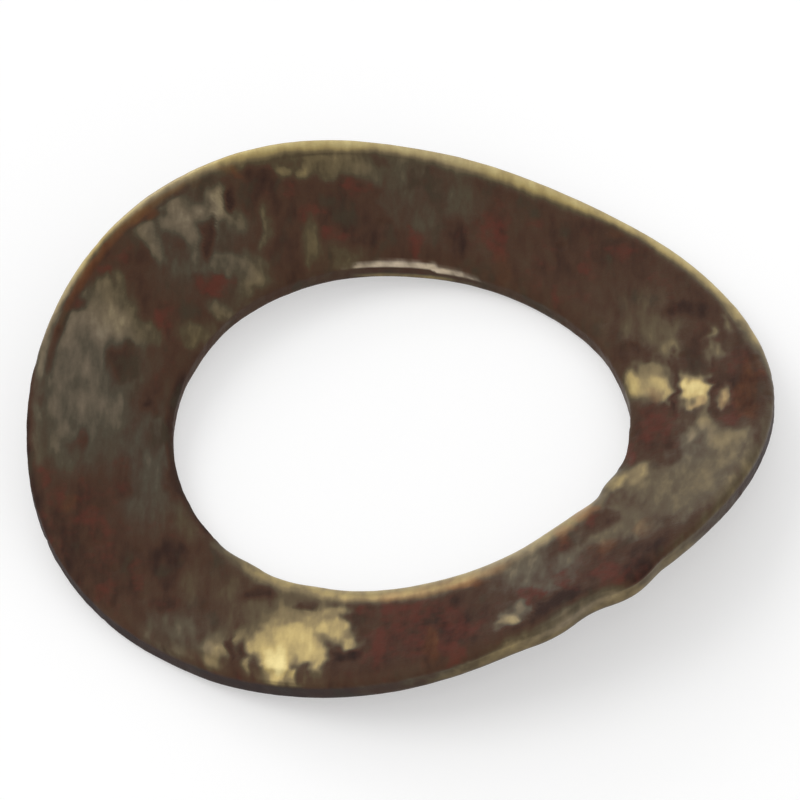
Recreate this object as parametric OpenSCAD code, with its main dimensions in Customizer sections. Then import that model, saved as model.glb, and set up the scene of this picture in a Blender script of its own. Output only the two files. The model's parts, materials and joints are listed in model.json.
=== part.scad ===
// Curved spring washer, punched from spring steel sheet and bent one way.
//
// Seen from straight above, the washer is a round ring. The sheet is bent about one axis that
// runs along X, so the washer touches the surface below along the middle line of its underside,
// and the rims at its two sides stand up. A bolt drawn up through the hole presses the bend flat,
// and the sheet pushes back.
//
// The origin is in the middle of the hole, on the plane that the underside rests on. +Z is up,
// out of the hollow of the bend, and is also the axis of the hole.

/* [Outline] */
// Outer diameter, seen from above
outer_d = 14.6; // [12:0.1:22]
// Diameter of the hole, seen from above
bore_d = 9; // [4:0.1:11]

/* [Sheet] */
// Thickness of the sheet
sheet_t = 0.5; // [0.3:0.05:1]
// Radius of the underside about the bend axis
bend_r = 16.6; // [13.5:0.1:50]

/* [Edges] */
// Width of the band along the upper outer edge that the die drew down
rim_roll_w = 0.25; // [0.05:0.05:0.6]
// Width of the band along the hole's upper edge that the punch drew down
bore_roll_w = 0.25; // [0.05:0.05:0.6]

/* [Hidden] */

outer_r = outer_d / 2;
bore_r = bore_d / 2;
// Radius of the upper face about the bend axis
hollow_r = bend_r - sheet_t;
// How far a cutting shape reaches past what it cuts
over = 1;
// Sides of a full turn on a drawn circle
round_fn = 180;

// Rise of an arc of radius r from its middle to half_chord beside it
function arc_rise(r, half_chord) = r - sqrt(r * r - half_chord * half_chord);

// Radius of the arc that rises by rise from its middle to half_chord beside it
function arc_radius(half_chord, rise) = (half_chord * half_chord + rise * rise) / (2 * rise);

// Height of the upper face at a distance v from the middle line, measured across the bend
function upper_z(v) = sheet_t + arc_rise(hollow_r, v);

// The bands leave half of the ring's width between them, and half of the sheet below the outer one
band_limit = (outer_r - bore_r) / 4;
rim_roll_r = outer_r - min(rim_roll_w, band_limit, sheet_t / 2 * hollow_r / outer_r);
bore_roll_r = bore_r + min(bore_roll_w, band_limit);

// Sheet stock bent round the bend axis, before the washer is punched out of it
module bent_sheet() {
    translate([0, 0, bend_r])
        rotate([90, 0, 90])
            linear_extrude(height = outer_d + 2 * over, center = true)
                difference() {
                    circle(r = bend_r, $fn = 2 * round_fn);
                    circle(r = hollow_r, $fn = 2 * round_fn);
                }
}

// Upright bar with the outline of the washer, reaching up to the bend axis
module outline_bar() {
    translate([0, 0, -over])
        cylinder(r = outer_r, h = bend_r + over, $fn = round_fn);
}

// Lying bar whose top draws the outer edge down. It has the radius of the hollow and lies across
// the bend, its top level with the upper face where the band starts at the raised sides. The
// two round surfaces then part company along a ring near the outer edge.
module rim_roll_bar() {
    translate([0, 0, upper_z(rim_roll_r) - hollow_r])
        rotate([90, 0, 0])
            cylinder(r = hollow_r, h = outer_d + 2 * over, center = true, $fn = 2 * round_fn);
}

// Upright bar that punches the hole. It is turned halfway between the bend axis and the line
// across it.
module bore_bar() {
    translate([0, 0, -over])
        rotate([0, 0, 45])
            cylinder(r = bore_r, h = bend_r + 2 * over, $fn = round_fn);
}

// Lying barrel whose belly draws the hole's edge down. Along the bend axis it has the radius of
// the hollow, and across it a tighter one, so that it meets the upper face in a ring round
// the hole on both lines.
module bore_roll_barrel() {
    sink = arc_rise(hollow_r, bore_roll_r);
    side_r = arc_radius(bore_roll_r, upper_z(bore_roll_r) - sheet_t + sink);
    translate([0, 0, sheet_t - sink + hollow_r])
        rotate([90, 0, 0])
            rotate_extrude($fn = 2 * round_fn)
                intersection() {
                    translate([hollow_r - side_r, 0])
                        circle(r = side_r, $fn = 2 * round_fn);
                    translate([0, -side_r])
                        square([hollow_r + over, 2 * side_r]);
                }
}

module curved_washer() {
    color([0.40, 0.36, 0.30])
        difference() {
            intersection() {
                bent_sheet();
                outline_bar();
                rim_roll_bar();
            }
            bore_bar();
            bore_roll_barrel();
        }
}

curved_washer();
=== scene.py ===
# %% [markdown]
# This is a curved spring washer: a ring punched from spring steel sheet and bent about one
# axis. It lies with its hollow side up. Its true size comes from the CAD model, which loads here
# as a fixed frame. Blender only adds what the eye sees: rolled and worn edges, rust with a real
# thickness, and the metal's finish. Every length below is in millimetres until the mesh is done,
# because 0.25 is easier to read than 0.00025.

import json
import math

import bpy
from mathutils import Matrix, Vector


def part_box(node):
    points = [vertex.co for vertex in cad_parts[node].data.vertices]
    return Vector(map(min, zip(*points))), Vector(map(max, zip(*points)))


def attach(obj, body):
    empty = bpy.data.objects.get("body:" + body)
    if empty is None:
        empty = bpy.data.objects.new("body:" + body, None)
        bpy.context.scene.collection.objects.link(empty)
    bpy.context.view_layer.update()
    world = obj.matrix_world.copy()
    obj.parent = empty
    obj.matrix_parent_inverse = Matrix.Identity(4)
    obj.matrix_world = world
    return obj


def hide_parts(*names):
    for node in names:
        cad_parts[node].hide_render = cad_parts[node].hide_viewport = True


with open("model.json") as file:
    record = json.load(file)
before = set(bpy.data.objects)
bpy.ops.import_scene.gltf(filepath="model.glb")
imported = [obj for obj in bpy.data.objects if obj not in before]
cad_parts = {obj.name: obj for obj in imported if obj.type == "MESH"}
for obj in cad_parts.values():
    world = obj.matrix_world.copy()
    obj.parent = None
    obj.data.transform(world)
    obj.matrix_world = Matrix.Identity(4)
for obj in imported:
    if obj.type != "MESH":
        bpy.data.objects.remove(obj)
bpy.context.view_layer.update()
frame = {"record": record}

NODE = "curved_washer"
MM = 0.001
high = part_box(NODE)[1]
OUTER_R = high.x / MM
HOLE_R = frame["record"]["mounts"][0]["dims"]["r_mm"]
print(f"outer radius {OUTER_R:.2f} mm, hole radius {HOLE_R:.2f} mm, height {high.z / MM:.3f} mm")

# %% [markdown]
# The sheet is 0.5 mm thick. Its underside is bent to a radius of 16.6 mm, so the upper face,
# inside the bend, has a radius one thickness smaller. Punching draws the upper edges down in a
# soft roll before it shears. The lower corners are sharper, and only wear has broken them.

# %% Sizes of the sheet and its edges
SHEET = 0.5
BEND_R = 16.6
HOLLOW_R = BEND_R - SHEET
RIM_ROLL_W = 0.36
HOLE_ROLL_W = 0.42
ROLL_DROP = 0.11
UPPER_CORNER = 0.13
LOWER_CORNER = 0.05
print(f"ring {OUTER_R - HOLE_R:.2f} mm wide, hollow radius {HOLLOW_R:.1f} mm")

# %% [markdown]
# The picture was taken from in front and above with a long lens, and a fit to the ring's
# outline gives where that stood. A camera looks along its own -Z with +Y up, so the cell builds
# those axes with their small roll, and then aims a little above the washer, because the washer
# sits below the middle of the picture.

# %% The camera
PICTURE = 800
AXIS_TURN = math.radians(38.9)
LOOK_DOWN = math.radians(45.13)
ROLL = math.radians(4.71)
DISTANCE = 151.8
PIXELS_PER_MM = 50.89
ORIGIN_X = 403.3
ORIGIN_Y = 447.9
SENSOR = 36.0


def level_axes():
    """The picture's right and the way the lens points, both level with the floor."""
    right = Vector((math.cos(AXIS_TURN), -math.sin(AXIS_TURN), 0))
    away = Vector((math.sin(AXIS_TURN), math.cos(AXIS_TURN), 0))
    return right, away


def camera_axes():
    """Right, up and back of a camera that looks straight at the origin, with its roll."""
    right, away = level_axes()
    back = Vector((0, 0, math.sin(LOOK_DOWN))) - away * math.cos(LOOK_DOWN)
    up = Vector((0, 0, math.cos(LOOK_DOWN))) + away * math.sin(LOOK_DOWN)
    rolled_right = right * math.cos(ROLL) - up * math.sin(ROLL)
    rolled_up = right * math.sin(ROLL) + up * math.cos(ROLL)
    return rolled_right, rolled_up, back


def add_object(name, data):
    """A new object in the scene."""
    made = bpy.data.objects.new(name, data)
    bpy.context.scene.collection.objects.link(made)
    return made


def add_camera():
    """A camera that puts the origin at its pixel of the picture."""
    right, up, back = camera_axes()
    place = back * DISTANCE
    half = PICTURE / 2
    aim = right * ((half - ORIGIN_X) / PIXELS_PER_MM) + up * ((ORIGIN_Y - half) / PIXELS_PER_MM)
    z_axis = (place - aim).normalized()
    x_axis = up.cross(z_axis).normalized()
    y_axis = z_axis.cross(x_axis)
    data = bpy.data.cameras.new("camera")
    data.sensor_width = SENSOR
    data.lens = PIXELS_PER_MM * DISTANCE / PICTURE * SENSOR
    data.clip_start = 0.01
    data.clip_end = 10.0
    camera = add_object("camera", data)
    turn = Matrix((x_axis, y_axis, z_axis)).transposed()
    camera.matrix_world = Matrix.Translation(place * MM) @ turn.to_4x4()
    bpy.context.scene.camera = camera
    return camera


camera = add_camera()
print(f"camera {DISTANCE:.0f} mm away, lens {camera.data.lens:.0f} mm")

# %% [markdown]
# The shape and the finish both follow formulas over the surface, which node trees hold as Math
# nodes. A small class keeps that short: a Field is a value at every point, and adding or
# multiplying Fields lays the nodes, in a geometry tree and in a material alike. The steel's
# streaks are a Field that both share, so that the relief and the colour of the rust agree.

# %% Fields: arithmetic that lays nodes
GRAIN_TURN = AXIS_TURN + math.radians(3.3)
HALF_WORN = 0.42
COARSE_STREAKS = 0.30
FINE_STREAKS = 0.34


def feed(tree, socket, value):
    """Links a Field or a socket into socket, or sets a plain value on it."""
    if isinstance(value, Field):
        value = value.socket
    if isinstance(value, bpy.types.NodeSocket):
        tree.links.new(value, socket)
    else:
        socket.default_value = value


def lay(tree, kind, inputs=None, **settings):
    """A new node of that kind, with its settings made and its inputs fed by name or number."""
    node = tree.nodes.new(kind)
    for name, value in settings.items():
        setattr(node, name, value)
    for key, value in (inputs or {}).items():
        feed(tree, node.inputs[key], value)
    return node


class Field:
    """A value at every point of the surface, held by a socket of one node tree."""

    def __init__(self, tree, socket):
        self.tree = tree
        self.socket = socket

    def math(self, operation, *others):
        inputs = dict(enumerate((self, *others)))
        node = lay(self.tree, "ShaderNodeMath", inputs, operation=operation)
        return Field(self.tree, node.outputs[0])

    def __add__(self, other):
        return self.math("ADD", other)

    def __sub__(self, other):
        return self.math("SUBTRACT", other)

    def __mul__(self, other):
        return self.math("MULTIPLY", other)

    def __truediv__(self, other):
        return self.math("DIVIDE", other)

    def __rsub__(self, other):
        return self.math("MULTIPLY_ADD", -1.0, other)

    __radd__ = __add__
    __rmul__ = __mul__

    def above(self, other):
        return self.math("MAXIMUM", other)

    def below(self, other):
        return self.math("MINIMUM", other)

    def step(self, start, end):
        """0 before start, 1 after end, and an even S curve in between."""
        inputs = {"Value": self, "From Min": start, "From Max": end}
        node = lay(self.tree, "ShaderNodeMapRange", inputs, interpolation_type="SMOOTHSTEP")
        return Field(self.tree, node.outputs[0])


def noise(tree, place, per_mm, seed, detail=2.0, rough=0.5):
    """Even noise around 0, from about -0.5 to 0.5, at per_mm waves to the millimetre."""
    inputs = {"Vector": place, "W": float(seed), "Scale": per_mm, "Detail": detail}
    inputs["Roughness"] = rough
    node = lay(tree, "ShaderNodeTexNoise", inputs, noise_dimensions="4D")
    return Field(tree, node.outputs[0]) - 0.5


def combine(tree, x, y, z):
    """A vector of three fields."""
    return lay(tree, "ShaderNodeCombineXYZ", {0: x, 1: y, 2: z}).outputs[0]


def split(tree, vector):
    """The three fields of a vector."""
    return [Field(tree, part) for part in lay(tree, "ShaderNodeSeparateXYZ", {0: vector}).outputs]


def turned_to_grain(x, y):
    """x and y, plain or as Fields, turned to run across the sheet's grain and along it."""
    across = x * math.cos(GRAIN_TURN) - y * math.sin(GRAIN_TURN)
    along = x * math.sin(GRAIN_TURN) + y * math.cos(GRAIN_TURN)
    return across, along


def along_grain(tree, place, stretch):
    """Coordinates in which marks are drawn out along the grain of the rolled sheet."""
    x, y, z = split(tree, place)
    across, along = turned_to_grain(x, y)
    return combine(tree, across, along / stretch, z)


def broken_up(tree, place, level):
    """The level of cleanness, broken up by streaks where the scale is half worn off."""
    coarse = noise(tree, along_grain(tree, place, 2.0), 1.7, 41) * COARSE_STREAKS
    fine = noise(tree, along_grain(tree, place, 3.5), 5.0, 42, detail=2.5) * FINE_STREAKS
    half_worn = 1.0 - (level - HALF_WORN).math("ABSOLUTE").step(0.03, 0.12)
    return level + (coarse + fine) * (0.9 + half_worn * 0.6)


print("a Field has", ", ".join(n for n in vars(Field) if not n.startswith("_")))

# %% [markdown]
# Rust eats one place and leaves the next, and rubbing wears the scale off in spots. A random pattern
# can't guess such places, so each mark was read off the picture. Its numbers are the pixel in its
# middle, half its width and height in pixels, and how clean the steel is there: 0 is thick dark scale,
# 0.3 brown rust, 0.5 tempered steel and 1 bare metal. Later marks lie on top of earlier ones. In the
# red, grey and orange tables the last number is a strength, and the order doesn't matter.
# Where bare patches catch the window lamp, their levels also hold painted highlight.

# %% How clean each place on the upper face is
BROWN_ALL_OVER = 0.28
TONES = {
    "left": (85, 378, 60, 104, 0.595),
    "left_top": (108, 318, 46, 34, 0.62),
    "left_low": (60, 440, 30, 36, 0.51),
    "left_inner": (147, 452, 38, 84, 0.465),
    "left_inner_low": (168, 525, 48, 34, 0.40),
    "front_left": (205, 602, 78, 46, 0.41),
    "front_left_low": (170, 636, 46, 26, 0.39),
    "front": (285, 615, 52, 26, 0.52),
    "back_left": (190, 235, 70, 60, 0.39),
    "back_middle": (445, 205, 42, 42, 0.43),
    "back_grey": (352, 169, 66, 14, 0.56),
    "back_hole": (345, 256, 42, 14, 0.43),
    "right_back": (640, 318, 44, 36, 0.40),
    "right_end": (690, 468, 80, 54, 0.55),
    "right_low": (615, 522, 50, 24, 0.53),
    "front_right": (545, 572, 52, 28, 0.49),
}
MARKS = {
    "left_light_a": (112, 318, 18, 20, 0.66),
    "left_light_b": (72, 352, 22, 22, 0.65),
    "left_edge_light": (52, 396, 9, 40, 0.56),
    "left_dark_a": (124, 364, 13, 22, 0.22),
    "left_dark_b": (144, 402, 12, 10, 0.18),
    "left_dark_c": (80, 442, 8, 12, 0.34),
    "left_dark_d": (112, 494, 9, 12, 0.20),
    "left_brown_a": (170, 352, 14, 26, 0.27),
    "left_brown_b": (152, 388, 12, 14, 0.26),
    "left_brown_c": (72, 305, 12, 10, 0.24),
    "left_grey": (130, 392, 11, 16, 0.50),
    "left_hole_dark": (171, 484, 8, 16, 0.18),
    "left_red_field": (82, 506, 46, 40, 0.27),
    "left_low_field": (112, 572, 52, 44, 0.25),
    "left_low_dark": (170, 562, 14, 30, 0.16),
    "left_low_edge": (66, 556, 12, 40, 0.20),
    "left_inner_light": (217, 545, 9, 9, 0.52),
    "front_left_dark": (164, 608, 13, 11, 0.20),
    "back_left_a": (177, 214, 12, 22, 0.67),
    "back_left_b": (193, 226, 13, 20, 0.71),
    "back_left_c": (215, 207, 12, 17, 0.74),
    "back_left_d": (150, 233, 13, 18, 0.67),
    "back_left_e": (156, 250, 8, 15, 0.60),
    "back_left_f": (228, 262, 12, 10, 0.58),
    "back_left_g": (218, 306, 16, 12, 0.58),
    "back_left_h": (246, 274, 14, 20, 0.64),
    "back_left_i": (101, 292, 10, 20, 0.61),
    "back_left_j": (121, 290, 8, 16, 0.58),
    "back_left_k": (193, 332, 14, 14, 0.56),
    "back_left_l": (145, 330, 17, 14, 0.55),
    "back_left_m": (232, 214, 8, 18, 0.58),
    "back_left_n": (221, 270, 9, 10, 0.52),
    "back_left_o": (259, 262, 9, 12, 0.52),
    "back_left_dark_a": (210, 238, 5, 22, 0.16),
    "back_left_dark_b": (230, 196, 6, 14, 0.12),
    "back_left_dark_c": (262, 200, 14, 38, 0.19),
    "back_left_dark_d": (140, 260, 14, 10, 0.22),
    "back_left_dark_e": (108, 248, 8, 8, 0.20),
    "back_left_dark_f": (150, 306, 12, 12, 0.22),
    "back_left_dark_g": (206, 280, 16, 10, 0.24),
    "back_left_dark_h": (150, 211, 8, 8, 0.24),
    "back_streak_a": (266, 232, 7, 24, 0.48),
    "back_streak_b": (313, 240, 9, 24, 0.53),
    "back_streak_c": (392, 205, 10, 26, 0.47),
    "back_streak_d": (408, 186, 8, 22, 0.46),
    "back_middle_light": (398, 184, 10, 10, 0.50),
    "back_spot_a": (284, 166, 10, 8, 0.66),
    "back_spot_b": (308, 174, 11, 9, 0.66),
    "back_spot_c": (330, 172, 10, 8, 0.56),
    "back_dark_a": (458, 238, 16, 20, 0.20),
    "back_dark_b": (258, 172, 14, 8, 0.17),
    "back_dark_c": (372, 240, 12, 8, 0.20),
    "right_back_a": (659, 327, 16, 15, 0.53),
    "right_back_b": (671, 347, 12, 12, 0.56),
    "right_back_c": (710, 332, 7, 10, 0.59),
    "right_back_d": (714, 358, 10, 14, 0.64),
    "right_back_e": (730, 320, 10, 14, 0.51),
    "right_back_dark_a": (690, 310, 24, 10, 0.19),
    "right_back_dark_b": (699, 343, 6, 14, 0.20),
    "right_back_dark_c": (626, 350, 12, 12, 0.18),
    "right_field": (735, 382, 30, 40, 0.23),
    "right_hole_field": (656, 436, 25, 30, 0.23),
    # The tan and bright patches at the right are bare steel, and their levels also hold painted
    # highlight where the window lamp's reflection falls.
    "right_tan": (647, 386, 23, 18, 0.71),
    "right_tan_top": (651, 368, 17, 8, 0.63),
    "right_tan_light": (668, 394, 5, 11, 0.72),
    "right_gap_a": (677, 386, 3, 28, 0.20),
    "right_patch_a": (688, 387, 9, 16, 0.82),
    "right_patch_b": (700, 388, 12, 18, 0.87),
    "right_patch_foot": (698, 405, 6, 6, 0.70),
    "right_gap_b": (715, 391, 4, 23, 0.22),
    "right_spot": (727, 396, 8, 9, 0.71),
    "right_end_a": (690, 432, 7, 12, 0.64),
    "right_end_b": (708, 425, 9, 12, 0.62),
    "right_end_c": (728, 438, 26, 10, 0.59),
    "right_end_d": (640, 470, 12, 10, 0.66),
    "right_end_e": (614, 478, 11, 12, 0.72),
    "right_end_brown_a": (679, 456, 14, 8, 0.36),
    "right_end_brown_b": (700, 446, 8, 10, 0.44),
    "right_end_dark_a": (744, 482, 18, 24, 0.47),
    "right_end_dark_b": (680, 532, 26, 9, 0.27),
    "right_end_dark_c": (652, 552, 24, 12, 0.16),
    "front_right_field": (606, 566, 28, 18, 0.25),
    "front_right_brown_a": (577, 533, 12, 10, 0.30),
    "front_right_brown_b": (563, 541, 12, 8, 0.24),
    "front_right_dark_a": (636, 573, 13, 13, 0.05),
    "front_right_brown_c": (522, 603, 14, 9, 0.28),
    "front_right_brown_d": (562, 580, 12, 9, 0.34),
    "front_right_dark_b": (565, 601, 17, 13, 0.12),
    "front_right_dark_c": (540, 608, 9, 9, 0.15),
    "front_right_dark_d": (597, 521, 17, 8, 0.24),
    "front_right_spot_a": (506, 621, 11, 8, 0.84),
    "front_right_spot_b": (521, 610, 10, 8, 0.60),
    "front_field": (420, 632, 62, 30, 0.22),
    "front_dark_a": (430, 668, 34, 7, 0.13),
    "front_dark_b": (492, 636, 14, 9, 0.20),
    # The bright patch in front, its streak and the lighter marks round it are bare steel, and their
    # levels also hold painted highlight where the window lamp's reflection falls, falling away towards
    # the left.
    "front_olive": (290, 613, 30, 8, 0.60),
    "front_patch": (291, 640, 31, 18, 0.83),
    "front_patch_left": (263, 643, 11, 12, 0.77),
    "front_patch_low": (314, 654, 18, 14, 0.82),
    "front_patch_grey": (272, 624, 8, 9, 0.76),
    "front_streak": (278, 664, 13, 16, 0.90),
    "front_foot": (297, 676, 11, 6, 0.82),
    "front_arm_a": (329, 622, 14, 13, 0.80),
    "front_arm_b": (348, 643, 10, 10, 0.76),
    "front_arm_c": (337, 630, 10, 12, 0.78),
    "front_patch_top": (300, 620, 36, 6, 0.64),
    "front_light_a": (318, 667, 8, 12, 0.78),
    "front_light_b": (248, 666, 7, 9, 0.69),
    "front_light_c": (210, 651, 13, 17, 0.69),
    "front_light_d": (240, 634, 9, 9, 0.62),
    "front_light_e": (185, 642, 13, 18, 0.48),
    "front_cut_a": (303, 672, 5, 6, 0.42),
    "front_cut_b": (257, 672, 4, 8, 0.46),
    "front_cut_c": (231, 652, 5, 18, 0.13),
    "front_cut_d": (244, 650, 5, 9, 0.17),
    "front_cut_e": (336, 650, 6, 6, 0.34),
    "front_cut_f": (346, 657, 13, 7, 0.10),
    "front_cut_g": (360, 622, 6, 8, 0.20),
    "front_cut_h": (306, 604, 10, 5, 0.26),
    "front_cut_i": (259, 592, 14, 9, 0.16),
    "front_tan": (342, 611, 10, 6, 0.66),
}
RED_MARKS = {
    "left_a": (58, 496, 13, 13, 0.80),
    "left_b": (44, 470, 8, 18, 0.70),
    "left_c": (98, 524, 22, 14, 0.55),
    "left_d": (140, 572, 12, 20, 0.65),
    "left_e": (106, 590, 14, 12, 0.65),
    "left_f": (108, 556, 24, 20, 0.40),
    "left_field": (90, 530, 60, 70, 0.30),
    "left_low_field": (150, 585, 50, 30, 0.15),
    "left_g": (72, 305, 10, 9, 0.80),
    "left_h": (104, 270, 12, 10, 0.90),
    "back_left_a": (212, 281, 24, 12, 0.90),
    "back_left_b": (165, 324, 12, 20, 0.80),
    "back_left_c": (126, 250, 7, 16, 0.60),
    "back_left_d": (240, 172, 14, 8, 0.60),
    "back_right_field": (600, 250, 100, 60, 0.10),
    "back_a": (346, 190, 16, 9, 0.70),
    "back_b": (310, 212, 14, 11, 0.90),
    "back_c": (342, 232, 16, 12, 0.90),
    "back_d": (418, 238, 14, 20, 0.80),
    "back_e": (496, 232, 14, 36, 0.70),
    "back_f": (286, 188, 6, 12, 0.50),
    "back_g": (588, 268, 10, 10, 0.70),
    "back_h": (620, 248, 18, 12, 0.70),
    "back_i": (565, 290, 14, 12, 0.60),
    "back_j": (655, 284, 20, 10, 0.40),
    "back_k": (536, 222, 20, 8, 0.50),
    "right_field": (735, 372, 32, 50, 0.38),
    "right_hole_field": (660, 430, 34, 36, 0.50),
    "right_a": (738, 362, 18, 26, 0.45),
    "right_b": (655, 430, 24, 26, 0.70),
    "right_c": (628, 455, 8, 16, 1.00),
    "right_d": (735, 416, 20, 8, 0.70),
    "right_e": (757, 378, 10, 20, 0.40),
    "front_right_field": (590, 568, 60, 24, 0.40),
    "front_right_a": (610, 572, 24, 12, 0.80),
    "front_right_b": (590, 522, 8, 6, 0.90),
    "front_right_c": (534, 592, 20, 7, 0.80),
    "front_right_d": (524, 602, 10, 6, 0.60),
    "front_right_e": (562, 580, 13, 10, 0.80),
    "front_right_f": (562, 541, 14, 10, 0.80),
    "front_field": (418, 630, 66, 42, 0.62),
    "front_a": (376, 645, 14, 22, 1.00),
    "front_b": (452, 640, 16, 22, 1.00),
    "front_c": (400, 608, 36, 8, 0.80),
    "front_d": (470, 632, 10, 10, 0.70),
    "front_e": (500, 632, 14, 10, 0.60),
    "front_f": (364, 611, 12, 8, 0.90),
}
GREY_MARKS = {
    "left": (85, 385, 76, 115, 1.00),
    "left_inner": (140, 460, 46, 90, 1.00),
    "back_left": (190, 240, 76, 76, 0.80),
    "back": (420, 205, 90, 56, 0.60),
    "right_end": (690, 445, 26, 22, 0.50),
    "front_left": (170, 630, 50, 30, 0.60),
    "front_right": (540, 580, 60, 44, 0.60),
    "front_rim": (410, 672, 90, 10, 0.50),
    "front_right_rim": (590, 612, 64, 24, 0.70),
}
ORANGE_MARKS = {
    "left": (72, 505, 12, 12, 0.50),
    "back_left_a": (232, 170, 20, 7, 0.60),
    "back_left_b": (196, 184, 10, 10, 0.50),
    "back_left_c": (152, 210, 8, 14, 0.60),
    "back_a": (500, 268, 14, 22, 0.40),
    "back_b": (612, 232, 14, 8, 0.60),
    "right": (752, 388, 14, 34, 0.90),
    "right_tan": (655, 396, 16, 10, 0.50),
    "right_patch_foot": (699, 405, 10, 7, 0.50),
    "right_spot": (727, 398, 10, 12, 0.50),
    "front_right_a": (645, 528, 14, 10, 0.50),
    "front_right_b": (606, 546, 16, 12, 0.60),
    "front_right_c": (568, 534, 16, 10, 0.90),
    "front_right_d": (584, 514, 14, 9, 0.90),
    "front_a": (432, 644, 10, 18, 0.90),
    "front_b": (464, 584, 22, 7, 0.90),
    "front_c": (560, 540, 12, 6, 0.60),
}
everything = (TONES, MARKS, RED_MARKS, GREY_MARKS, ORANGE_MARKS)
print("marks in each table:", *(len(table) for table in everything))

# %% [markdown]
# Marks along the edges follow the ring, so they are in ring coordinates: degrees round the hole
# from the +X side, the distance out from its axis in millimetres, half the length in degrees,
# half the width, and a level or strength. The moves say how far wear has shifted an edge: the
# middle in degrees, half the length, and the distance outward in millimetres.

# %% How clean the edges are, and how far they have moved
# Dark and grey places beside the edges
RING_PLACES = {
    "front_rim": (250.0, 7.22, 36.0, 0.24, 0.26),
    "front_rim_grey": (231.0, 7.24, 17.0, 0.12, 0.30),
    "front_right_rim": (254.0, 7.36, 13.0, 0.26, 0.58),
    "right_rim": (294.0, 7.30, 22.0, 0.22, 0.50),
    "left_rim": (146.0, 7.32, 24.0, 0.12, 0.18),
    "left_hole_edge": (146.0, 4.50, 36.0, 0.16, 0.15),
    "far_rim_scale": (43.0, 6.96, 84.0, 0.08, 0.22),
    "right_lip": (329.0, 4.68, 6.0, 0.13, 0.80),
    "back_left_line": (106.0, 7.03, 26.0, 0.09, 0.24),
    "bump_dark": (266.5, 7.20, 3.5, 0.30, 0.12),
}
# Edges that were rubbed bright, with painted highlight where the far outer rim and the near edge of the
# hole catch the light from behind
EDGE_WEAR_AND_HIGHLIGHTS = {
    "far_rim": (50, 7.56, 79, 0.78, 0.88),
    "far_rim_middle": (27, 7.56, 26, 0.88, 0.88),
    "far_rim_right": (0, 7.56, 52, 0.68, 0.84),
    "near_hole_start": (190, 4.26, 20, 0.68, 0.66),
    "near_hole_left": (218, 4.26, 36, 0.82, 0.84),
    "near_hole_middle": (238, 4.26, 32, 0.95, 0.79),
    "near_hole_right": (268, 4.26, 24, 0.79, 0.84),
    "left_rim_line": (104, 7.52, 31, 0.41, 0.94),
}
# Where the painted highlight runs along the far wall's burnished band, and the degrees between which it
# steps down
FAR_WALL = (45, 4.40, 22, 0.20)
LINE_STEP = (41, 38)
# Where the outer wall gets little painted shade and is as pale as the face over it
PALE_WALL = (256, 7.30, 38, 0.60)
# Orange rust along the edges, and how strong it is
ORANGE_LINES = {
    "back_left_rim": (102, 7.04, 26, 0.13, 0.70),
    "near_hole": (237, 4.86, 24, 0.30, 0.60),
}
# How far stretches of the two edges have moved outward
RIM_MOVES = {
    "back_right": (18, 22, -0.055),
    "back": (63, 22, 0.070),
    "back_left": (106, 30, -0.045),
    "left": (153, 24, 0.055),
    "front_left": (189, 20, -0.070),
    "front": (230, 28, 0.125),
    "front_right": (251, 7, 0.090),
    "front_notch": (258, 5, -0.040),
    "front_bump": (265, 7, 0.150),
}
HOLE_MOVES = {
    "back": (76, 44, -0.085),
    "back_right": (46, 24, -0.045),
    "back_left": (112, 18, -0.035),
    "front_left": (187, 8, -0.050),
    "front": (207, 9, -0.035),
    "front_right": (267, 12, -0.045),
    "right_notch": (283, 7, 0.080),
    "right": (299, 13, 0.070),
    "right_back": (332, 18, -0.045),
}
print(f"{len(RING_PLACES) + len(EDGE_WEAR_AND_HIGHLIGHTS)} places and {len(ORANGE_LINES)} orange lines on the edges")

# %% [markdown]
# A line from the lens through a mark's pixel meets the bent face at a height that depends on
# where it meets it, so the cell guesses the height, finds the place, corrects the height and
# repeats. Rolling gave the sheet a grain, so the mark's middle and half sizes are then given
# across and along it.

# %% Find the marks on the washer
HEIGHT_CORRECTIONS = 6


def on_washer(x, y):
    """The place on the upper face, in millimetres, that the picture shows at a pixel."""
    half = PICTURE / 2
    aim = Vector((x - half, half - y, -camera.data.lens / SENSOR * PICTURE))
    ray = camera.matrix_world.to_3x3() @ aim
    start = camera.matrix_world.translation / MM
    height = SHEET
    for correction in range(HEIGHT_CORRECTIONS):
        place = start + ray * ((height - start.z) / ray.z)
        height = BEND_R - math.sqrt(HOLLOW_R ** 2 - place.y ** 2)
    return place


def on_grain(x, y, half_width, half_height):
    """A mark's middle and half sizes in millimetres, first across the grain and then along."""
    top = on_washer(x, y - half_height)
    bottom = on_washer(x, y + half_height)
    middle = (top + bottom) / 2
    across, along = turned_to_grain(middle.x, middle.y)
    return across, along, half_width / PIXELS_PER_MM, (top - bottom).xy.length / 2


def placed(marks):
    """The marks of one table as ellipses on the grain, each with its last number kept."""
    return [(*on_grain(*mark[:4]), mark[4]) for mark in marks.values()]


streak = on_washer(*MARKS["front_streak"][:2])
print(f"the brightest streak lies {streak.xy.length:.2f} mm from the hole's axis")

# %% [markdown]
# Every mark becomes a field that is 1 in the middle of its ellipse and falls to 0 at its border,
# whose two numbers say where the fall starts and ends, as shares of the ellipse's size. Levels
# are painted over each other, while of the tints only the strongest counts. Noise makes the
# distance ragged, so that no mark is seen to be an ellipse.

# %% A canvas that paints the marks
HALF_TURN = 180.0
NOT_WRAPPED = 99.0


def blend(tree, under, over, share, kind="FLOAT"):
    """What is under, with what is over laid on it where share is 1."""
    node = lay(tree, "ShaderNodeMix", data_type=kind)
    used = {socket.name: socket for socket in node.inputs if socket.enabled}
    feed(tree, used["Factor"], share)
    feed(tree, used["A"], under)
    feed(tree, used["B"], over)
    return next(socket for socket in node.outputs if socket.enabled)


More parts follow.
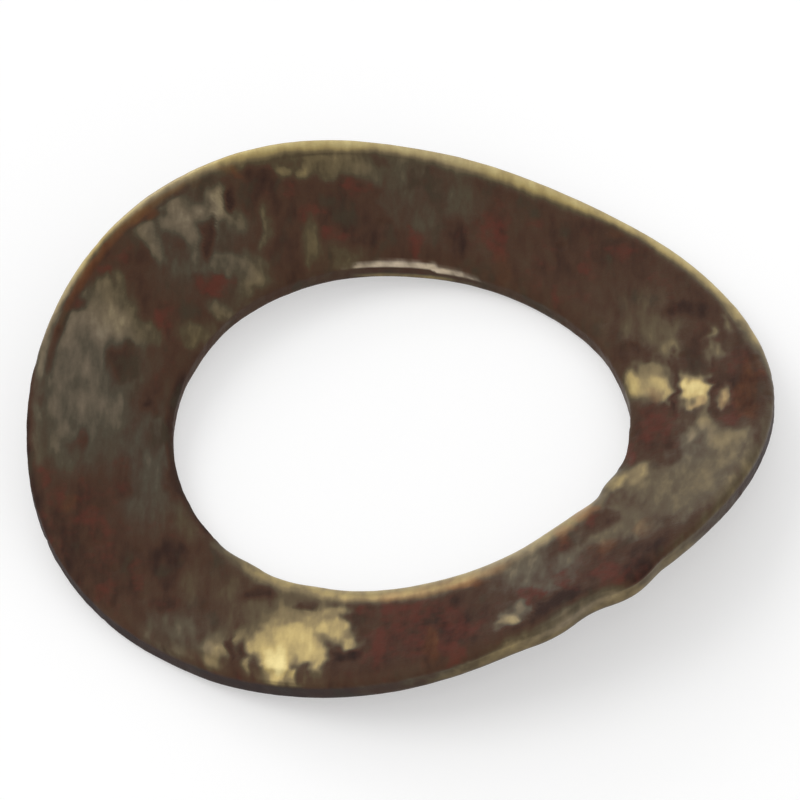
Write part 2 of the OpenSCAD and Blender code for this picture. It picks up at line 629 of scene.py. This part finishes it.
class Canvas:
    """Coordinates to paint ellipses in, and the noise that makes their borders ragged."""

    def __init__(self, tree, place, ragged, on_ring=False):
        self.tree = tree
        self.place = place
        self.ragged = ragged
        self.on_ring = on_ring

    def vector(self, operation, *inputs):
        """The node of one step of vector arithmetic."""
        numbered = dict(enumerate(inputs))
        return lay(self.tree, "ShaderNodeVectorMath", numbered, operation=operation)

    def share(self, ellipse, border):
        """How far inside an ellipse each point lies: 1 within the border's start, 0 past its end."""
        first, second, half_first, half_second = ellipse
        scale = (1.0 / half_first, 1.0 / half_second, 0.0)
        if self.on_ring:
            offset = self.vector("SUBTRACT", self.place, (first, second, 0.0))
            most = (HALF_TURN, NOT_WRAPPED, NOT_WRAPPED)
            least = tuple(-value for value in most)
            offset = self.vector("WRAP", offset.outputs[0], most, least)
            shares = self.vector("MULTIPLY", offset.outputs[0], scale)
        else:
            middle = (-first * scale[0], -second * scale[1], 0.0)
            shares = self.vector("MULTIPLY_ADD", self.place, scale, middle)
        length = self.vector("LENGTH", shares.outputs[0])
        distance = self.ragged.math("MULTIPLY_ADD", max(scale), length.outputs["Value"])
        start, end = border
        return distance.step(end, start)

    def paint(self, level, ellipses, border):
        """Lays each ellipse's own level, its last number, over the level there was."""
        for *ellipse, wanted in ellipses:
            level = Field(self.tree, blend(self.tree, level, wanted, self.share(ellipse, border)))
        return level

    def strongest(self, ellipses, border):
        """The largest share times strength that any of the ellipses has at each point."""
        most = None
        for *ellipse, strength in ellipses:
            share = self.share(ellipse, border) * strength
            most = share if most is None else most.above(share)
        return most


print("a Canvas can", ", ".join(n for n in vars(Canvas) if not n.startswith("_")))

# %% [markdown]
# The washer's shape follows a rule, so Geometry Nodes build it, in the order of the real work.
# First comes a flat ring: a section with rounded corners, swept round a circle. Its points are
# spread evenly, because rust and wear need points to move everywhere.

# %% The flat ring
TURN_POINTS = 660
SECTION_POINTS = 132
CORNER_POINTS = 8
FIRST_LOWER_CORNER = 2


def flat_ring(tree, sizes):
    """The punched ring before it is bent, centred on the origin."""
    width = sizes["Outer radius"] - sizes["Hole radius"]
    middle = (sizes["Outer radius"] + sizes["Hole radius"]) * 0.5
    path_inputs = {"Resolution": TURN_POINTS, "Radius": middle}
    path = lay(tree, "GeometryNodeCurvePrimitiveCircle", path_inputs, mode="RADIUS")
    box_inputs = {"Width": width, "Height": sizes["Sheet"]}
    box = lay(tree, "GeometryNodeCurvePrimitiveQuadrilateral", box_inputs, mode="RECTANGLE")
    index = Field(tree, lay(tree, "GeometryNodeInputIndex").outputs[0])
    is_lower = index.math("GREATER_THAN", FIRST_LOWER_CORNER - 0.5)
    corner = sizes["Upper corner"] + is_lower * (sizes["Lower corner"] - sizes["Upper corner"])
    fillet_inputs = {"Curve": box.outputs[0], "Count": CORNER_POINTS, "Radius": corner}
    fillet = lay(tree, "GeometryNodeFilletCurve", fillet_inputs, mode="POLY")
    even_inputs = {"Curve": fillet.outputs[0], "Count": SECTION_POINTS}
    even = lay(tree, "GeometryNodeResampleCurve", even_inputs, mode="COUNT")
    sweep_inputs = {"Curve": path.outputs[0], "Profile Curve": even.outputs[0]}
    return lay(tree, "GeometryNodeCurveToMesh", sweep_inputs).outputs[0]


def position(tree):
    """The place of each point, in millimetres."""
    return lay(tree, "GeometryNodeInputPosition").outputs[0]


class RingPoint:
    """Where each point lies, as fields. They follow the mesh as later steps move it."""

    def __init__(self, tree, sizes):
        self.place = position(tree)
        self.x, self.y, self.z = split(tree, self.place)
        self.out = (self.x * self.x + self.y * self.y).math("SQRT")
        self.degrees = self.y.math("ARCTAN2", self.x) * (HALF_TURN / math.pi)
        self.upness = self.z / sizes["Sheet"] + 0.5
        self.rim_gap = sizes["Outer radius"] - self.out
        self.hole_gap = self.out - sizes["Hole radius"]


print(f"{TURN_POINTS} sections round the ring, {SECTION_POINTS} points in each")

# %% [markdown]
# How clean the steel is gets settled while the ring is flat and the distance to each edge is plain. The
# upper face starts brown, the marks go on it, and the edges go over them. No picture shows the
# underside, so broad noise spreads rust and steel there. The sheared walls are rough and get painted
# shade, darker than the faces, apart from a pale stretch in front. The hole's far wall gets a painted
# highlight along its burnished band and a painted reflection at its foot.

# %% How clean each point is
TONE_BORDER = (0.40, 1.35)
MARK_BORDER = (0.38, 1.55)
TINT_BORDER = (0.30, 1.40)
RING_BORDER = (0.50, 1.30)
EDGE_BORDER = (0.52, 1.10)
LINE_BORDER = (0.40, 1.30)
PALE_WALL_BORDER = (0.30, 1.20)
FAR_WALL_BORDER = (0.60, 1.00)
DRIFT = 0.7
SWAY_DEGREES = 4.0
SWELL = 0.12
RAGGED = 0.28
RAGGED_ON_RING = 0.3
UNDER_LEVEL = 0.36
# The walls' painted shade: how far in from an edge it reaches, its level, how much it covers, and how
# much lighter it is on the pale stretch and in the hole
WALL_DEPTH = 0.06
SHADED_WALL_LEVEL = 0.22
WALL_SHADE_SHARE = 0.8
PALE_WALL_RISE = 0.46
HOLE_WALL_RISE = 0.12
# Painted highlight along the far wall's burnished band, painted reflection at its foot, and how far the
# highlight steps down
CUT_HIGHLIGHT_LEVEL = 0.92
FOOT_REFLECTION_LEVEL = 0.66
CUT_LINE_DROP = 0.22


def store(tree, geometry, name, value):
    """Keeps a field as a named attribute of the mesh, for the material to read."""
    inputs = {"Geometry": geometry, "Name": name, "Value": value}
    kind = "GeometryNodeStoreNamedAttribute"
    return lay(tree, kind, inputs, data_type="FLOAT", domain="POINT").outputs[0]


def add_canvases(tree, at):
    """The grain that marks are painted on and the ring for edges, both pushed about by noise."""
    sway = noise(tree, at.place, 1.6, 11, detail=4.0, rough=0.6)
    swell = noise(tree, at.place, 1.6, 12, detail=4.0, rough=0.6)
    drift_x = noise(tree, at.place, 1.8, 17, detail=1.5)
    drift_y = noise(tree, at.place, 1.8, 18, detail=1.5)
    drifted = combine(tree, at.x + drift_x * DRIFT, at.y + drift_y * DRIFT, 0.0)
    swayed = combine(tree, at.degrees + sway * SWAY_DEGREES, at.out + swell * SWELL, 0.0)
    ragged = noise(tree, along_grain(tree, at.place, 4.0), 4.5, 15) * RAGGED
    grain = Canvas(tree, along_grain(tree, drifted, 1.0), ragged)
    ring = Canvas(tree, swayed, ragged * RAGGED_ON_RING, on_ring=True)
    return grain, ring


def face_levels(tree, at, grain, ring, is_upper):
    """How clean the two faces are: marks and edges above, broad noise below."""
    under = noise(tree, at.place, 0.35, 13, detail=3.0) * 1.1 + UNDER_LEVEL
    upper = noise(tree, at.place, 0.35, 14, detail=3.0) * 0.2 + BROWN_ALL_OVER
    upper = grain.paint(upper, placed(TONES), TONE_BORDER)
    upper = grain.paint(upper, placed(MARKS), MARK_BORDER)
    upper = ring.paint(upper, RING_PLACES.values(), RING_BORDER)
    upper = ring.paint(upper, EDGE_WEAR_AND_HIGHLIGHTS.values(), EDGE_BORDER)
    return under + (upper - under) * is_upper


def cut_line(tree, at, far_wall):
    """The painted highlight along the far wall's burnished band. Past a step it lies lower and is a
    little weaker.
    """
    streaks = noise(tree, combine(tree, at.degrees * 0.05, at.z, 0.0), 6.0, 16, detail=3.0)
    slip = at.degrees.step(*LINE_STEP) * CUT_LINE_DROP
    line = (at.upness + slip).step(0.82, 0.90) * (at.upness + slip).step(1.24, 1.12)
    return far_wall * line * (0.85 + streaks * 2.0) * (1.0 - slip * 0.5)


def store_levels(tree, mesh, at, grain, ring, is_upper):
    """Stores how clean each point is with the walls' painted shade, where the walls are, and where the
    far wall's painted highlight runs.
    """
    clean = face_levels(tree, at, grain, ring, is_upper)
    # The walls get painted shade, lighter on the pale stretch and in the hole.
    upright = at.upness.step(0.92, 0.74)
    rim_wall = at.rim_gap.step(WALL_DEPTH, 0.0) * upright
    hole_wall = at.hole_gap.step(WALL_DEPTH, 0.0) * upright
    ragged_ring = Canvas(tree, ring.place, grain.ragged, on_ring=True)
    pale_wall = ragged_ring.share(PALE_WALL, PALE_WALL_BORDER)
    shaded_wall_level = SHADED_WALL_LEVEL + pale_wall * PALE_WALL_RISE + hole_wall * HOLE_WALL_RISE
    clean = clean + (shaded_wall_level - clean) * rim_wall.above(hole_wall) * WALL_SHADE_SHARE
    # The hole's far wall: painted highlight along its burnished band and painted reflection at its foot
    far_wall = ring.share(FAR_WALL, FAR_WALL_BORDER)
    cut = cut_line(tree, at, far_wall)
    foot_reflection = far_wall * at.upness.step(0.50, 0.36)
    clean = clean + (CUT_HIGHLIGHT_LEVEL - clean) * cut + (FOOT_REFLECTION_LEVEL - clean) * foot_reflection
    mesh = store(tree, mesh, "clean", clean)
    mesh = store(tree, mesh, "wall", rim_wall * (1.0 - pale_wall) + hole_wall * 0.25)
    return store(tree, mesh, "cut", cut)


def store_tints(tree, mesh, grain, ring, is_upper):
    """Stores how red, grey and orange each point of the upper face is."""
    tints = {}
    for name, marks in (("red", RED_MARKS), ("grey", GREY_MARKS), ("orange", ORANGE_MARKS)):
        tints[name] = grain.strongest(placed(marks), TINT_BORDER)
    lines = ring.strongest(ORANGE_LINES.values(), LINE_BORDER)
    tints["orange"] = tints["orange"].above(lines)
    for name, tint in tints.items():
        mesh = store(tree, mesh, name, tint * is_upper)
    return mesh


print(f"walls start at level {SHADED_WALL_LEVEL}, and the bright line on one has {CUT_HIGHLIGHT_LEVEL}")

# %% [markdown]
# The punch drew the upper face down beside both edges before it sheared the steel, so a
# parabola lowers it there. Wear then moved the edges in and out by up to 0.15 mm, and metal
# that was pushed outward sags a little. The bend lifts each point by the rise of a circle over
# its distance from the bend axis, and the upper face has the smaller circle.

# %% Roll, wear and bend
WORN_W = 0.6
NICK_DEPTH = 0.04
SAG_SHARE = 0.25


def moved_out(at, moves):
    """How far an edge has moved outward: each move is largest in its middle and fades out."""
    total = 0.0
    for middle, half_length, distance in moves.values():
        away = (at.degrees - middle).math("WRAP", HALF_TURN, -HALF_TURN).math("ABSOLUTE")
        total = total + away.step(half_length, 0.0) * distance
    return total


def near(gap, width):
    """1 at an edge, falling evenly to 0 at that width from it."""
    return (1.0 - gap / width).above(0.0)


def move(tree, mesh, **inputs):
    """Moves each point to its Position, or by its Offset."""
    return lay(tree, "GeometryNodeSetPosition", {"Geometry": mesh, **inputs}).outputs[0]


def roll_and_wear(tree, mesh, sizes, at):
    """Lowers the face beside both edges and moves the edges where they are worn."""
    rim_near = near(at.rim_gap, sizes["Rim roll width"])
    hole_near = near(at.hole_gap, sizes["Hole roll width"])
    drop = (rim_near * rim_near + hole_near * hole_near) * sizes["Roll drop"] * at.upness
    nicked = noise(tree, at.place, 1.6, 22, detail=3.0, rough=0.6) * NICK_DEPTH
    rim_shift = (nicked + moved_out(at, RIM_MOVES)) * near(at.rim_gap, WORN_W)
    hole_shift = (nicked + moved_out(at, HOLE_MOVES)) * near(at.hole_gap, WORN_W)
    shift = rim_shift + hole_shift
    grow = 1.0 + shift / at.out
    sag = shift.above(0.0) * SAG_SHARE
    return move(tree, mesh, Position=combine(tree, at.x * grow, at.y * grow, at.z - drop - sag))


def circle_rise(radius, half_chord):
    """How far a circle of that radius has risen over its lowest point, half_chord away."""
    level = (radius * radius - half_chord * half_chord).math("SQRT")
    return radius - level


def bend(tree, mesh, sizes, at):
    """Bends the flat ring about an axis over it that runs along X."""
    under = circle_rise(sizes["Bend radius"], at.y)
    over = sizes["Sheet"] + circle_rise(sizes["Bend radius"] - sizes["Sheet"], at.y)
    height = under + (over - under) * at.upness
    return move(tree, mesh, Position=combine(tree, at.x, at.y, height))


print(f"{len(RIM_MOVES)} moves of the outer edge, {len(HOLE_MOVES)} of the hole's")

# %% [markdown]
# Rust takes up more room than the steel it came from, so brown places stand a little proud,
# with a grain and with pits eaten into them. The tree reads the level back from the mesh and
# moves the surface along its normal. Underneath it may only move inward, so that the washer
# rests on the floor and not on its rust.

# %% The rust's own thickness
RUST_LIFT = 0.010
RUST_GRAIN = 0.030
PIT_DEPTH = 0.022
MOST_LIFT = 0.05


def grow_rust(tree, mesh):
    """Moves the surface along its normal by the rust that grew there, less the pits."""
    place = position(tree)
    kept = lay(tree, "GeometryNodeInputNamedAttribute", {"Name": "clean"}, data_type="FLOAT")
    clean = broken_up(tree, place, Field(tree, kept.outputs[0]))
    rust = 1.0 - clean.step(0.30, 0.50)
    grain = noise(tree, place, 3.5, 51, detail=3.0, rough=0.6)
    pits = noise(tree, place, 2.6, 52, detail=1.0).step(0.12, 0.26)
    lift = rust * (RUST_LIFT + grain * RUST_GRAIN) - pits * rust * PIT_DEPTH
    normal = lay(tree, "GeometryNodeInputNormal").outputs[0]
    faces_up = split(tree, normal)[2].step(-0.2, 0.2)
    lift = lift.below(faces_up * MOST_LIFT)
    push = lay(tree, "ShaderNodeVectorMath", {0: normal, "Scale": lift}, operation="SCALE")
    return move(tree, mesh, Offset=push.outputs[0])


print(f"rust stands up to {RUST_LIFT + RUST_GRAIN / 2:.3f} mm proud, pits go {PIT_DEPTH} mm in")

# %% [markdown]
# The steps now go into one tree, with the washer's sizes as its named inputs. Everything so far
# was in millimetres, so the last nodes scale the mesh to metres and give it its material.

# %% The whole tree
WASHER_SIZES = {
    "Outer radius": OUTER_R,
    "Hole radius": HOLE_R,
    "Sheet": SHEET,
    "Bend radius": BEND_R,
    "Rim roll width": RIM_ROLL_W,
    "Hole roll width": HOLE_ROLL_W,
    "Roll drop": ROLL_DROP,
    "Upper corner": UPPER_CORNER,
    "Lower corner": LOWER_CORNER,
}


def build_washer_tree(material):
    """The node group that makes the whole washer, from its named sizes in millimetres."""
    tree = bpy.data.node_groups.new("washer_from_sheet", "GeometryNodeTree")
    tree.interface.new_socket("Geometry", in_out="OUTPUT", socket_type="NodeSocketGeometry")
    for name, value in WASHER_SIZES.items():
        socket = tree.interface.new_socket(name, in_out="INPUT", socket_type="NodeSocketFloat")
        socket.default_value = value
    entry = tree.nodes.new("NodeGroupInput")
    sizes = {name: Field(tree, entry.outputs[name]) for name in WASHER_SIZES}
    at = RingPoint(tree, sizes)
    grain, ring = add_canvases(tree, at)
    is_upper = at.upness.step(0.30, 0.60)

    mesh = flat_ring(tree, sizes)
    mesh = store_levels(tree, mesh, at, grain, ring, is_upper)
    mesh = store_tints(tree, mesh, grain, ring, is_upper)
    mesh = roll_and_wear(tree, mesh, sizes, at)
    mesh = bend(tree, mesh, sizes, at)
    mesh = grow_rust(tree, mesh)

    smooth = lay(tree, "GeometryNodeSetShadeSmooth", {"Geometry": mesh})
    metres = lay(tree, "GeometryNodeTransform", {"Geometry": smooth.outputs[0], "Scale": (MM,) * 3})
    real = lay(tree, "GeometryNodeRealizeInstances", {"Geometry": metres.outputs[0]})
    finish = {"Geometry": real.outputs[0], "Material": material}
    last = lay(tree, "GeometryNodeSetMaterial", finish)
    leave = tree.nodes.new("NodeGroupOutput")
    tree.links.new(last.outputs[0], leave.inputs[0])
    return tree


print("the tree's inputs:", ", ".join(WASHER_SIZES))

# %% [markdown]
# Thick scale is nearly black, rust is brown, tempered steel is grey or straw and bare metal is pale.
# The level of cleanness runs through them all, so colour, metal and roughness are ramps over it. Grey
# and orange parts have ramps of their own, laid over the first by the stored tints. Red and olive rust
# cover rusty places only, and then come the painted shade of the walls, the painted highlight on the
# hole's far wall and a fine grit. Patterns follow the object's own coordinates, so they stay in place
# from every side.

# %% The rusted steel
# Each step has its level, colour, metallic and roughness
FINISH_STEPS = (
    (0.02, (30, 18, 13), 0.00, 0.85),
    (0.14, (49, 29, 20), 0.05, 0.80),
    (0.27, (70, 46, 31), 0.15, 0.70),
    (0.40, (77, 58, 41), 0.45, 0.52),
    (0.52, (88, 76, 56), 0.80, 0.42),
    (0.66, (124, 109, 79), 0.95, 0.41),
    (0.82, (176, 156, 104), 1.00, 0.39),
    (0.98, (208, 192, 136), 1.00, 0.37),
)
GREY_STEPS = (
    (0.14, (49, 29, 20)),
    (0.29, (70, 47, 33)),
    (0.42, (75, 61, 49)),
    (0.53, (86, 79, 66)),
    (0.66, (124, 111, 94)),
    (0.82, (168, 156, 134)),
)
ORANGE_STEPS = (
    (0.14, (64, 34, 17)),
    (0.30, (102, 60, 30)),
    (0.45, (112, 74, 42)),
    (0.60, (134, 98, 62)),
    (0.80, (176, 144, 102)),
)
RED_RUST = (92, 43, 31)
OLIVE_RUST = (58, 51, 36)
# Painted shade on the walls, and the painted highlight on the hole's far wall
SHADED_WALL_COLOUR = (50, 45, 46)
CUT_HIGHLIGHT_COLOUR = (196, 180, 161)
OLIVE_COVER = 0.7
RED_COVER = 0.72
ORANGE_COVER = 0.85
SHADED_WALL_COVER = 0.7
GRIT_SHADE = 0.35
GRIT_ROUGHNESS = 0.25
SPECULAR = 0.2
BUMP_STRENGTH = 0.6
BUMP_DEPTH = 0.02


def rgba(colour):
    """A colour written as screen values from 0 to 255, as the linear values Blender mixes."""
    shares = [value / 255 for value in colour]
    linear = [s / 12.92 if s <= 0.04045 else ((s + 0.055) / 1.055) ** 2.4 for s in shares]
    return (*linear, 1.0)


def new_material(name):
    """A new material, its node tree and the Principled BSDF in it."""
    material = bpy.data.materials.new(name)
    material.use_nodes = True
    tree = material.node_tree
    return material, tree, next(n for n in tree.nodes if n.type == "BSDF_PRINCIPLED")


def attribute(tree, name):
    """A field that the geometry tree stored on the mesh."""
    node = lay(tree, "ShaderNodeAttribute", attribute_name=name, attribute_type="GEOMETRY")
    return Field(tree, node.outputs["Fac"])


def ramp(tree, level, stops):
    """A ramp over the level. A stop has its place, and there a colour or a plain number."""
    node = lay(tree, "ShaderNodeValToRGB", {0: level})
    elements = node.color_ramp.elements
    elements.remove(elements[1])
    elements[0].position = stops[0][0]
    for place, value in stops[1:]:
        elements.new(place)
    for element, (place, value) in zip(elements, stops):
        element.color = rgba(value) if isinstance(value, tuple) else (value, value, value, 1.0)
    return node.outputs["Color"]


def steel_colour(tree, place, clean, rust):
    """The colour of every place, before the grit shades it."""
    hue = noise(tree, along_grain(tree, place, 2.0), 2.0, 34, detail=3.0)
    mottle = noise(tree, place, 5.0, 35)
    red_mark = attribute(tree, "red")
    red = (red_mark * 0.8 + hue * 1.6 + mottle * 1.2).step(0.15, 0.95) * rust
    olive = (hue * -2.6 - red_mark * 0.6).step(0.05, 0.5) * rust
    orange = (attribute(tree, "orange") * 0.9 + hue * 0.8).step(0.15, 0.9)
    straw_stops = [(at, rgb) for at, rgb, metal, rough in FINISH_STEPS]
    covers = (
        (ramp(tree, clean, GREY_STEPS), attribute(tree, "grey")),
        (rgba(OLIVE_RUST), olive * OLIVE_COVER),
        (rgba(RED_RUST), red * RED_COVER),
        (ramp(tree, clean, ORANGE_STEPS), orange * ORANGE_COVER),
        # Painted shade on the walls, then the painted highlight on the hole's far wall
        (rgba(SHADED_WALL_COLOUR), attribute(tree, "wall") * SHADED_WALL_COVER),
        (rgba(CUT_HIGHLIGHT_COLOUR), attribute(tree, "cut")),
    )
    colour = ramp(tree, clean, straw_stops)
    for cover, share in covers:
        colour = blend(tree, colour, cover, share, "RGBA")
    return colour


def build_weathered_steel():
    """Spring steel from thick dark scale through brown rust and temper to bare metal."""
    material, tree, shader = new_material("weathered_steel")
    coordinates = tree.nodes.new("ShaderNodeTexCoord")
    scaled = {0: coordinates.outputs["Object"], "Scale": 1.0 / MM}
    place = lay(tree, "ShaderNodeVectorMath", scaled, operation="SCALE").outputs[0]
    clean = broken_up(tree, place, attribute(tree, "clean"))
    rust = 1.0 - clean.step(0.34, 0.50)
    grit = noise(tree, place, 14.0, 33, detail=4.0, rough=0.7)

    shade = {0: steel_colour(tree, place, clean, rust), "Scale": 1.0 + grit * GRIT_SHADE}
    shaded = lay(tree, "ShaderNodeVectorMath", shade, operation="SCALE")
    metal_stops = [(at, metal) for at, rgb, metal, rough in FINISH_STEPS]
    rough_stops = [(at, rough) for at, rgb, metal, rough in FINISH_STEPS]
    roughness = Field(tree, ramp(tree, clean, rough_stops)) + grit * GRIT_ROUGHNESS
    bump_height = grit * (rust * 0.8 + 0.2)
    bump_inputs = {"Height": bump_height, "Strength": BUMP_STRENGTH, "Distance": BUMP_DEPTH * MM}
    bump = lay(tree, "ShaderNodeBump", bump_inputs)
    feed(tree, shader.inputs["Base Color"], shaded.outputs[0])
    feed(tree, shader.inputs["Metallic"], ramp(tree, clean, metal_stops))
    feed(tree, shader.inputs["Roughness"], roughness)
    feed(tree, shader.inputs["Specular IOR Level"], SPECULAR)
    feed(tree, shader.inputs["Normal"], bump.outputs[0])
    return material


weathered_steel = build_weathered_steel()
print(f"material with {len(weathered_steel.node_tree.nodes)} nodes")

# %% [markdown]
# A modifier is worked out anew whenever the scene changes, and the library takes plain meshes.
# So the tree runs once on an empty carrier object, its result is kept as a mesh, and the carrier
# goes. The mesh keeps the attributes that the material reads.

# %% Run the tree and keep its mesh


def make_washer():
    """The tree's result as a plain mesh object at the origin."""
    carrier = add_object("carrier", bpy.data.meshes.new("carrier"))
    modifier = carrier.modifiers.new("washer", "NODES")
    modifier.node_group = build_washer_tree(weathered_steel)
    depsgraph = bpy.context.evaluated_depsgraph_get()
    mesh = bpy.data.meshes.new_from_object(carrier.evaluated_get(depsgraph), depsgraph=depsgraph)
    mesh.name = "washer"
    bpy.data.objects.remove(carrier)
    return add_object("washer", mesh)


washer = make_washer()
washer.data.calc_loop_triangles()
print(f"washer: {len(washer.data.loop_triangles)} triangles, attributes:")
print(", ".join(a.name for a in washer.data.attributes if not a.name.startswith(".")))

# %% [markdown]
# Clean steel shows what it reflects. A low window behind the washer shines in the bare patches
# at the front, a wide light at the left lifts that side, and a small one over the camera softens
# the rust. Each is placed as the camera sees it: degrees to the right of straight behind the
# washer, and degrees up.

# %% The lamps
LAMP_DISTANCE = 1.0


def add_area(name, turn, elevation, width, height, brightness):
    """A flat lamp that faces the washer. turn is degrees to the right of straight behind it."""
    right, away = level_axes()
    turn, elevation = math.radians(turn), math.radians(elevation)
    level = away * math.cos(turn) + right * math.sin(turn)
    towards = level * math.cos(elevation) + Vector((0, 0, math.sin(elevation)))
    data = bpy.data.lights.new(name, "AREA")
    data.shape = "RECTANGLE"
    data.size = width
    data.size_y = height
    data.energy = brightness * math.pi * width * height
    lamp = add_object(name, data)
    lamp.location = towards * LAMP_DISTANCE
    lamp.rotation_mode = "QUATERNION"
    lamp.rotation_quaternion = towards.to_track_quat("Z", "Y")
    return lamp


lamps = (
    add_area("window", turn=-9, elevation=28, width=0.50, height=0.24, brightness=1.7),
    add_area("side_light", turn=-80, elevation=55, width=0.80, height=0.60, brightness=1.3),
    add_area("front_light", turn=178, elevation=55, width=0.30, height=0.20, brightness=3.0),
)
for lamp in lamps:
    print(f"{lamp.name}: {lamp.data.energy:.2f} W, {lamp.location.z:.2f} m up")

# %% [markdown]
# The room is plain white, bright level with the table and dimmer overhead, because real windows
# are at the sides. The table top glows a little where the camera or a reflection sees it, which
# Light Path's rays tell, so the ground turns white, no more light falls on the washer, and its
# shadow stays.

# %% The room and the table
ROOM_BRIGHTNESS = 1.05
ROOM_DIMMING = 0.4
TABLE_HALF = 0.6
TABLE_COLOUR = 0.93
TABLE_DIMMING = 0.33
TABLE_GLOW = 0.42
WHITE = (1, 1, 1, 1)


def build_world():
    """A plain room: bright at the level of the washer, and dimmer overhead."""
    world = bpy.data.worlds.new("room")
    world.use_nodes = True
    tree = world.node_tree
    tree.nodes.clear()
    coordinates = tree.nodes.new("ShaderNodeTexCoord")
    height = split(tree, coordinates.outputs["Generated"])[2].step(0.05, 0.9)
    light = {"Color": WHITE, "Strength": ROOM_BRIGHTNESS - height * ROOM_DIMMING}
    background = lay(tree, "ShaderNodeBackground", light)
    output = tree.nodes.new("ShaderNodeOutputWorld")
    tree.links.new(background.outputs[0], output.inputs[0])
    return world


def build_table_top():
    """A pale matt material that glows a little where the camera or a reflection sees it."""
    material, tree, shader = new_material("pale_table")
    path = tree.nodes.new("ShaderNodeLightPath")
    kinds = ("Is Camera Ray", "Is Glossy Ray", "Is Transmission Ray")
    camera_ray, glossy_ray, transmission_ray = (Field(tree, path.outputs[k]) for k in kinds)
    seen = camera_ray.above(glossy_ray).above(transmission_ray)
    feed(tree, shader.inputs["Base Color"], TABLE_COLOUR - seen * TABLE_DIMMING)
    feed(tree, shader.inputs["Roughness"], 0.9)
    feed(tree, shader.inputs["Emission Color"], WHITE)
    feed(tree, shader.inputs["Emission Strength"], seen * TABLE_GLOW)
    return material


def add_floor():
    """The table top that the washer lies on, as one square face."""
    data = bpy.data.meshes.new("floor")
    turns = ((-1, -1), (1, -1), (1, 1), (-1, 1))
    corners = [(x * TABLE_HALF, y * TABLE_HALF, 0) for x, y in turns]
    data.from_pydata(corners, [], [(0, 1, 2, 3)])
    data.materials.append(build_table_top())
    return add_object("floor", data)


bpy.context.scene.world = build_world()
floor = add_floor()
bpy.context.scene.view_settings.view_transform = "Standard"
print(f"table {TABLE_HALF * 2:.1f} m wide in a room of brightness {ROOM_BRIGHTNESS}")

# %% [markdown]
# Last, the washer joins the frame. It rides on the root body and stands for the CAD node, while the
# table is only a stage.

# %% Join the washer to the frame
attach(washer, "root")
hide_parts(NODE)
